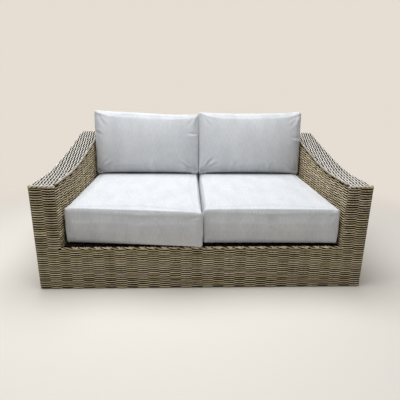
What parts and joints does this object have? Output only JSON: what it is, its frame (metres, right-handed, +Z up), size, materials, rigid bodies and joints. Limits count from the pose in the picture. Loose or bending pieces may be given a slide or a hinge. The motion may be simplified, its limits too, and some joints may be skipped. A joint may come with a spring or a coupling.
{
  "type": "patio loveseat",
  "caption": "Woven resin patio loveseat with sloping arms, an aluminium tube frame, a strap deck, boxed seat cushions and pillow back cushions that lift off.",
  "frame": {"origin": "on the floor, under the middle of the box round the whole loveseat", "axes": "+X to the right as seen from the front, +Y from the front to the back, +Z up"},
  "size_m": [1.65, 1.028, 0.8364],
  "materials": {
    "frame_coat": "satin",
    "resin_strand": "satin",
    "resin_border": "satin",
    "deck_webbing": "matte",
    "staple_steel": "satin",
    "glide_nylon": "matte",
    "heather_cloth": "matte",
    "seat_foam": "matte",
    "fibre_fill": "matte",
    "zip_tape": "matte",
    "zip_slider": "satin"
  },
  "bodies": {
    "root": {"apron_rail": "frame_coat", "arm_posts_left": "frame_coat", "arm_posts_right": "frame_coat", "arm_rail_inner_left": "frame_coat", "arm_rail_inner_right": "frame_coat", "arm_rail_outer_left": "frame_coat", "arm_rail_outer_right": "frame_coat", "back_rail_front": "frame_coat", "back_rail_rear": "frame_coat", "back_slats": "frame_coat", "base_rail_front": "frame_coat", "base_rail_left": "frame_coat", "base_rail_rear": "frame_coat", "base_rail_right": "frame_coat", "frame_uprights": "frame_coat", "rail_spreaders": "frame_coat", "seat_centre_bar": "frame_coat", "seat_rail_front": "frame_coat", "seat_rail_rear": "frame_coat", "seat_side_rails": "frame_coat", "weave_apron": "resin_strand", "weave_apron_top": "resin_strand", "weave_arm_front_left": "resin_strand", "weave_arm_front_right": "resin_strand", "weave_arm_inner_left": "resin_strand", "weave_arm_inner_right": "resin_strand", "weave_arm_outer_left": "resin_strand", "weave_arm_outer_right": "resin_strand", "weave_arm_top_left": "resin_strand", "weave_arm_top_right": "resin_strand", "weave_back_inner": "resin_strand", "weave_back_outer": "resin_strand", "weave_back_top": "resin_strand", "weave_base_front": "resin_strand", "weave_base_rear": "resin_strand", "weave_base_sides": "resin_strand", "border_apron": "resin_border", "border_arm_left": "resin_border", "border_arm_right": "resin_border", "deck_straps_crosswise": "deck_webbing", "deck_straps_lengthwise": "deck_webbing", "strap_staples": "staple_steel", "glides": "glide_nylon"},
    "seat_cushion_left": {"seat_cover_left": "heather_cloth", "seat_foam_left": "seat_foam", "seat_zip_left": "zip_tape"},
    "back_cushion_left": {"back_cover_left": "heather_cloth", "back_fill_left": "fibre_fill", "back_zip_left": "zip_tape"},
    "seat_zip_pull_left": {"seat_zip_slider_left": "zip_slider"},
    "back_zip_pull_left": {"back_zip_slider_left": "zip_slider"},
    "seat_cushion_right": {"seat_cover_right": "heather_cloth", "seat_foam_right": "seat_foam", "seat_zip_right": "zip_tape"},
    "back_cushion_right": {"back_cover_right": "heather_cloth", "back_fill_right": "fibre_fill", "back_zip_right": "zip_tape"},
    "seat_zip_pull_right": {"seat_zip_slider_right": "zip_slider"},
    "back_zip_pull_right": {"back_zip_slider_right": "zip_slider"}
  },
  "joints": [
    {"name": "seat_cushion_lift_left", "type": "slide", "parent": "root", "child": "seat_cushion_left", "axis": [0, 0, 1], "range_m": [0, 0.45]},
    {"name": "back_cushion_lift_left", "type": "slide", "parent": "seat_cushion_left", "child": "back_cushion_left", "axis": [0, 0, 1], "range_m": [0, 0.45]},
    {"name": "seat_zip_run_left", "type": "slide", "parent": "seat_cushion_left", "child": "seat_zip_pull_left", "axis": [1, 0, 0], "range_m": [0, 0.54]},
    {"name": "back_zip_run_left", "type": "slide", "parent": "back_cushion_left", "child": "back_zip_pull_left", "axis": [1, 0, 0], "range_m": [0, 0.54]},
    {"name": "seat_cushion_lift_right", "type": "slide", "parent": "root", "child": "seat_cushion_right", "axis": [0, 0, 1], "range_m": [0, 0.45]},
    {"name": "back_cushion_lift_right", "type": "slide", "parent": "seat_cushion_right", "child": "back_cushion_right", "axis": [0, 0, 1], "range_m": [0, 0.45]},
    {"name": "seat_zip_run_right", "type": "slide", "parent": "seat_cushion_right", "child": "seat_zip_pull_right", "axis": [-1, 0, 0], "range_m": [0, 0.54]},
    {"name": "back_zip_run_right", "type": "slide", "parent": "back_cushion_right", "child": "back_zip_pull_right", "axis": [-1, 0, 0], "range_m": [0, 0.54]}
  ]
}
